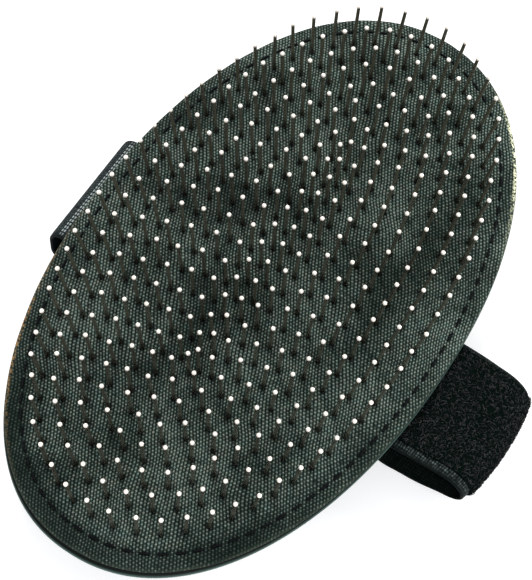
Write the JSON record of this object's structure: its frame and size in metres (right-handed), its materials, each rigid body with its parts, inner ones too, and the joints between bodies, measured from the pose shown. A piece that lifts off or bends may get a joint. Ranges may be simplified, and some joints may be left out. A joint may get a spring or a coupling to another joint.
{
  "type": "pet grooming pin pad glove",
  "caption": "Oval palm pad with rings of wire grooming pins on its front and a hook-and-loop hand strap under its back.",
  "frame": {"origin": "on the resting surface, under the strap's lower run, straight below the pad's centre", "axes": "+Z out of the pins, +Y along the pad's length, +X towards the strap's loop-pile side"},
  "size_m": [0.1491, 0.2, 0.0423],
  "materials": {
    "canvas": "plain-weave coated nylon canvas, dark green grey",
    "foundation_rubber": "matt black sheet rubber",
    "foam": "dark open-cell foam",
    "backing": "smooth dark coated backing, slight sheen",
    "thread": "black bonded thread",
    "ribbed_webbing": "ribbed woven webbing",
    "tape_weave": "fine ribbed tape weave",
    "loop_pile": "fuzzy loop pile, near black",
    "hook_nylon": "moulded nylon hooks on woven tape",
    "pin_wire": "dark bronzed steel wire, polished blunt ends"
  },
  "bodies": {
    "pad": {"front_cover": "canvas", "pin_foundation": "foundation_rubber", "foam_core": "foam", "back_cover": "backing", "rim_stitching": "thread", "pins_ring_1": "pin_wire", "pins_ring_2": "pin_wire", "pins_ring_3": "pin_wire", "pins_ring_4": "pin_wire", "pins_ring_5": "pin_wire", "pins_ring_6": "pin_wire", "pins_ring_7": "pin_wire", "pins_ring_8": "pin_wire", "left_strap_anchor": "ribbed_webbing", "right_strap_anchor": "tape_weave", "left_anchor_stitching": "thread", "right_anchor_stitching": "thread", "left_strap_side_loop": "ribbed_webbing", "right_strap_side_loop": "tape_weave", "loop_pile_side_loop": "loop_pile"},
    "hand_strap": {"left_strap_lower_run": "ribbed_webbing", "right_strap_lower_run": "tape_weave", "loop_pile_lower_run": "loop_pile"},
    "hook_tab": {"strap_tab": "ribbed_webbing", "hook_tape": "hook_nylon", "hook_tape_stitching": "thread"}
  },
  "joints": [
    {"name": "strap_lift", "type": "slide", "parent": "pad", "child": "hand_strap", "axis": [0, 0, -1], "range_m": [0, 0.03], "deforming": ["left_strap_side_loop", "right_strap_side_loop", "loop_pile_side_loop"]},
    {"name": "tab_peel", "type": "hinge", "parent": "hand_strap", "child": "hook_tab", "pos_m": [0.00615, -0.002, 0], "axis": [0, 1, 0], "range_deg": [0, 150]}
  ]
}
